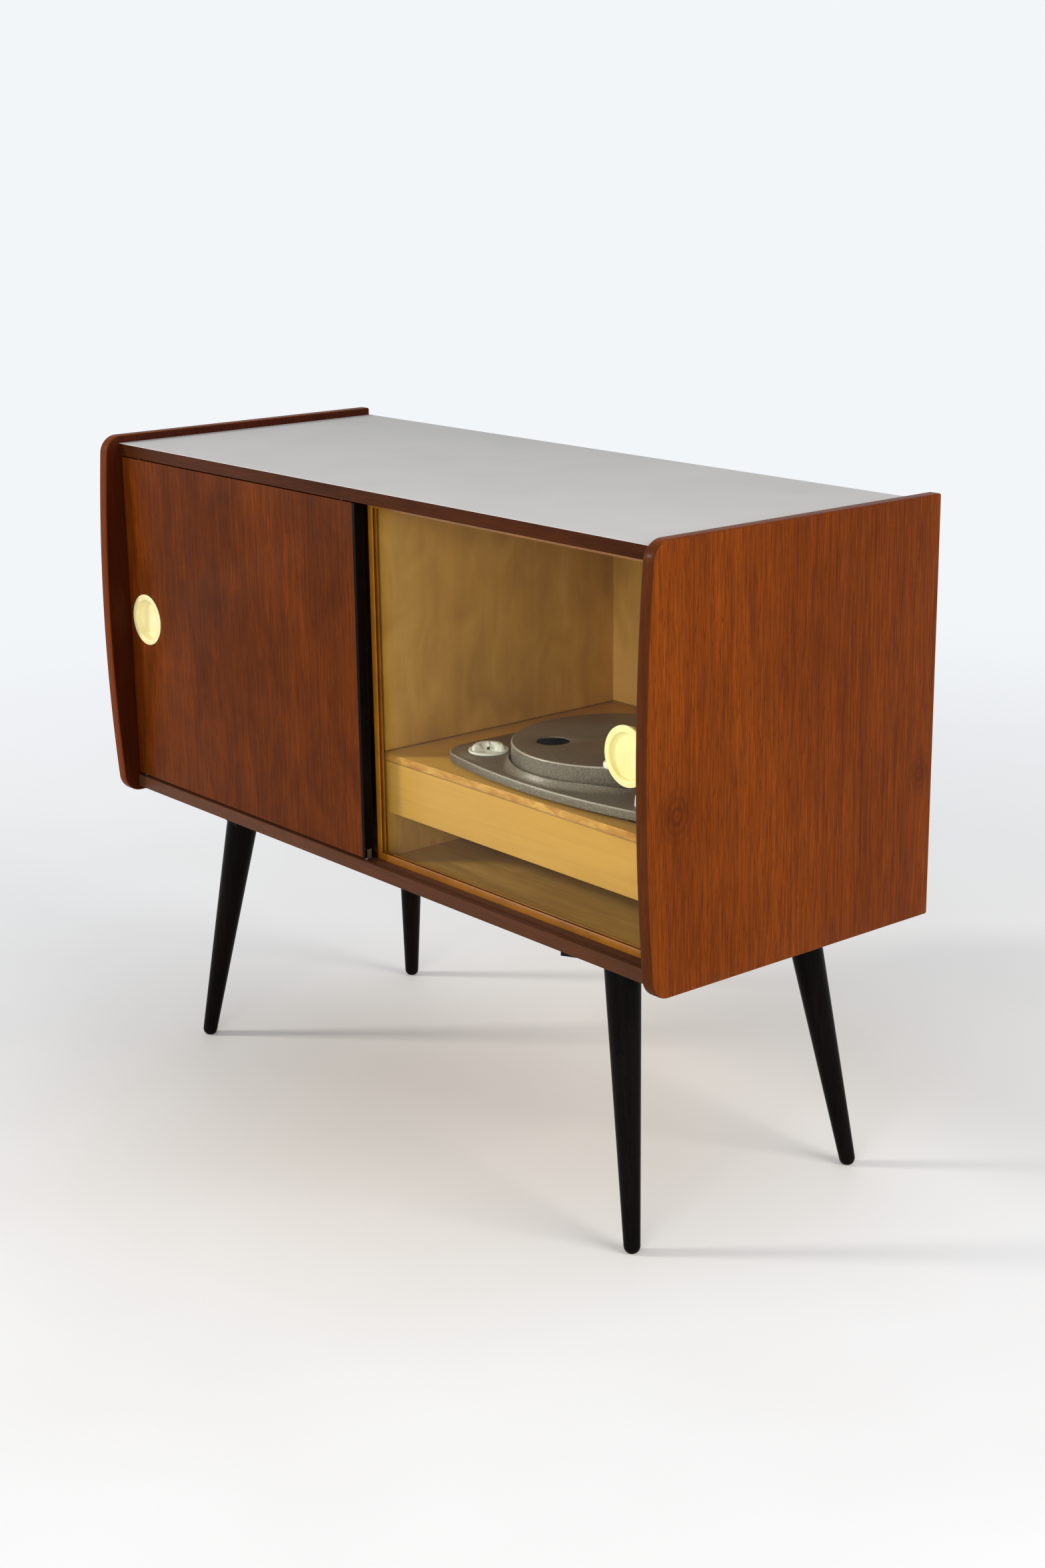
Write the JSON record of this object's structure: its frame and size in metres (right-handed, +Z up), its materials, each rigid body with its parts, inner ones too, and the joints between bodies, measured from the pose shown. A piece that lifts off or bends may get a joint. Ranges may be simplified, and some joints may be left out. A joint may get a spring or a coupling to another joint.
{
  "type": "record player cabinet",
  "caption": "Low cabinet on splayed tapered legs, with a wooden and a framed glass sliding door and a record player on a raised deck behind the glass.",
  "frame": {"origin": "on the floor, under the middle of the whole cabinet", "axes": "+X to the right as seen from the front, +Y to the back, +Z up"},
  "size_m": [1, 0.408, 0.772],
  "materials": {
    "veneer": "lacquered red-brown veneer",
    "veneer_top": "glossy lacquered veneer",
    "interior": "clear lacquered pale veneer",
    "deck_wood": "clear lacquered birch",
    "black_wood": "black lacquer on wood",
    "dowel_wood": "bare beech",
    "screw_steel": "zinc plated",
    "bright_steel": "ground",
    "cream_plastic": "cream, moulded",
    "white_plastic": "white, moulded",
    "amber_plastic": "translucent amber",
    "glass": "clear float glass",
    "hammered": "grey-brown hammered paint",
    "grey_metal": "satin grey",
    "brass": "turned",
    "rubber": "black",
    "black_plastic": "black, moulded"
  },
  "bodies": {
    "cabinet": {"side_left": "veneer", "side_right": "veneer", "top_panel": "veneer_top", "bottom_panel": "veneer", "divider": "interior", "back_panel": "interior", "dowels": "dowel_wood", "back_screws": "screw_steel", "lead_grommet": "rubber", "deck_board": "deck_wood", "deck_fascia": "deck_wood", "deck_cleat_left": "deck_wood", "deck_cleat_right": "deck_wood", "deck_cleat_back": "deck_wood", "leg_block_fl": "black_wood", "leg_block_fr": "black_wood", "leg_block_bl": "black_wood", "leg_block_br": "black_wood", "leg_fl": "black_wood", "leg_fr": "black_wood", "leg_bl": "black_wood", "leg_br": "black_wood", "leg_studs": "screw_steel", "block_screws": "screw_steel", "player_base": "hammered", "player_mounts": "rubber", "player_bolts": "screw_steel", "platter_bearing": "brass", "adapter_dish": "white_plastic", "motor": "grey_metal", "motor_mounts": "rubber", "idler_bracket": "bright_steel", "speed_switch": "grey_metal", "arm_post": "grey_metal", "arm_rest": "cream_plastic"},
    "wooden_door": {"wood_door": "veneer", "wood_pull": "cream_plastic", "door_glides": "screw_steel", "door_top_pins": "screw_steel"},
    "glass_door": {"glass_pane": "glass", "trim_left": "amber_plastic", "trim_right": "amber_plastic", "trim_bottom": "amber_plastic", "trim_top": "amber_plastic", "glass_pull": "cream_plastic", "glass_pull_ring": "cream_plastic"},
    "turntable": {"platter": "hammered", "spindle": "bright_steel"},
    "idler": {"idler_hub": "brass", "idler_tyre": "rubber"},
    "pulley": {"motor_pulley": "brass"},
    "knob": {"speed_knob": "white_plastic"},
    "adapter": {"adapter_puck": "white_plastic"},
    "arm_base": {"arm_yoke": "bright_steel"},
    "tonearm": {"arm_block": "bright_steel", "arm_tube": "bright_steel", "arm_head": "cream_plastic", "cartridge": "black_plastic", "counterweight": "grey_metal"}
  },
  "joints": [
    {"name": "wood_door_slide", "type": "slide", "parent": "cabinet", "child": "wooden_door", "axis": [1, 0, 0], "range_m": [0, 0.481]},
    {"name": "glass_door_slide", "type": "slide", "parent": "cabinet", "child": "glass_door", "axis": [-1, 0, 0], "range_m": [0, 0.4845]},
    {"name": "platter_spin", "type": "hinge", "parent": "cabinet", "child": "turntable", "pos_m": [0.24475, -0.014, 0.5025], "axis": [0, 0, 1], "continuous": true},
    {"name": "idler_spin", "type": "hinge", "parent": "cabinet", "child": "idler", "pos_m": [0.2877, 0.06039, 0.483], "axis": [0, 0, 1], "continuous": true},
    {"name": "pulley_spin", "type": "hinge", "parent": "cabinet", "child": "pulley", "pos_m": [0.29012, 0.0327, 0.476], "axis": [0, 0, 1], "continuous": true},
    {"name": "knob_turn", "type": "hinge", "parent": "cabinet", "child": "knob", "pos_m": [0.38775, -0.102, 0.476], "axis": [0, 0, -1], "range_deg": [0, 120]},
    {"name": "puck_lift", "type": "slide", "parent": "cabinet", "child": "adapter", "axis": [0, 0, 1], "range_m": [0, 0.04]},
    {"name": "arm_swing", "type": "hinge", "parent": "cabinet", "child": "arm_base", "pos_m": [0.39975, 0.072, 0.516], "axis": [0, 0, 1], "range_deg": [-30, 0]},
    {"name": "arm_lift", "type": "hinge", "parent": "arm_base", "child": "tonearm", "pos_m": [0.39975, 0.072, 0.516], "axis": [-0.972, 0.2351, 0], "range_deg": [0, 20]}
  ],
  "couplings": [
    {"joint": "idler_spin", "follows": "platter_spin", "ratio": 4.5917},
    {"joint": "pulley_spin", "follows": "platter_spin", "ratio": -31.486}
  ]
}
